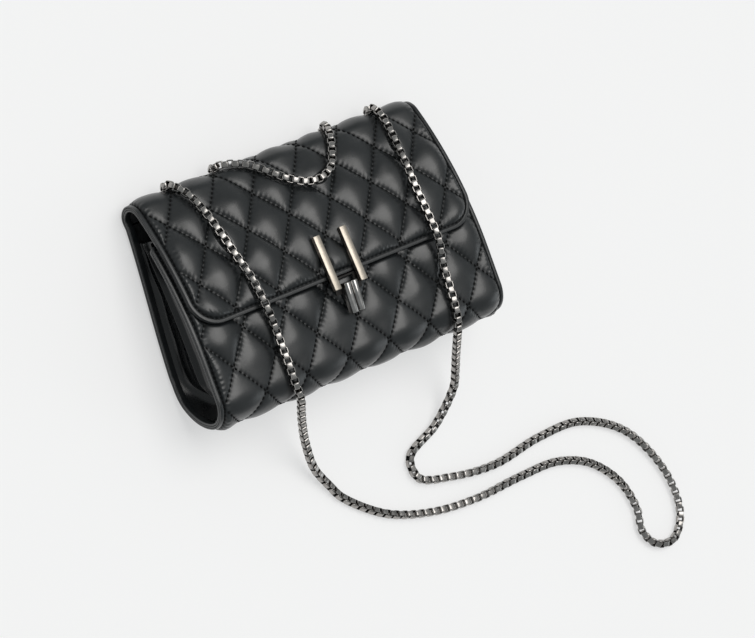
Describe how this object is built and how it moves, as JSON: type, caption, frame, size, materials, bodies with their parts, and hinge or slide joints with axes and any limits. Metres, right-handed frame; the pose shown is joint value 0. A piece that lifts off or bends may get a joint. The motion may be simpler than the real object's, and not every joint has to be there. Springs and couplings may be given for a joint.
{
  "type": "crossbody purse",
  "caption": "Small quilted black crossbody purse with an arched flap, a twist lock between two metal bars, folding side gussets and a box-chain strap through eyelets behind its ridge.",
  "frame": {"origin": "centre of the bag's footprint as it lies on its back, without the chain, on the surface", "axes": "+X to the right as one looks at the front, +Y from the base to the ridge, +Z the way the front faces"},
  "size_m": [0.3099, 0.3176, 0.0558],
  "materials": {
    "outer_leather": "smooth, glossy, quilted black leather",
    "gusset_leather": "smooth black leather",
    "lining": "black woven lining",
    "foam": "soft padding foam",
    "board": "bag board",
    "champagne_metal": "satin pale nickel",
    "gunmetal": "polished gunmetal",
    "chain_metal": "polished gunmetal",
    "dark_metal": "dark plated steel",
    "spring_steel": "spring steel"
  },
  "bodies": {
    "root": {"body_wrap": "outer_leather", "body_padding": "foam", "front_board": "board", "back_board": "board", "body_lining": "lining", "left_gusset": "gusset_leather", "right_gusset": "gusset_leather", "eyelets": "gunmetal", "eyelet_washers": "dark_metal", "turn_lock_base": "dark_metal", "turn_lock_washer": "dark_metal", "turn_lock_spring": "spring_steel", "chain_left_upper": "chain_metal", "chain_right_upper": "chain_metal", "chain_left_fall": "chain_metal", "chain_table_run": "chain_metal", "chain_right_fall": "chain_metal", "chain_short_loop": "chain_metal", "chain_inside_left": "chain_metal", "chain_inside_right": "chain_metal"},
    "flap": {"flap_leather": "outer_leather", "flap_padding": "foam", "flap_board": "board", "flap_lining": "lining", "left_lock_bar": "champagne_metal", "right_lock_bar": "champagne_metal", "lock_bar_studs": "dark_metal", "lock_plate": "dark_metal"},
    "turn_knob": {"turn_knob": "gunmetal", "knob_spindle": "gunmetal", "spindle_clip": "dark_metal"}
  },
  "joints": [
    {"name": "flap_hinge", "type": "hinge", "parent": "root", "child": "flap", "pos_m": [0, 0.05956, 0.02286], "axis": [-1, 0, 0], "range_deg": [0, 110], "deforming": ["chain_left_upper", "chain_right_upper", "chain_left_fall", "chain_right_fall", "chain_short_loop"]},
    {"name": "knob_turn", "type": "hinge", "parent": "root", "child": "turn_knob", "pos_m": [0, -0.0226, 0.0502], "axis": [0, 0, 1], "range_deg": [0, 90]}
  ]
}
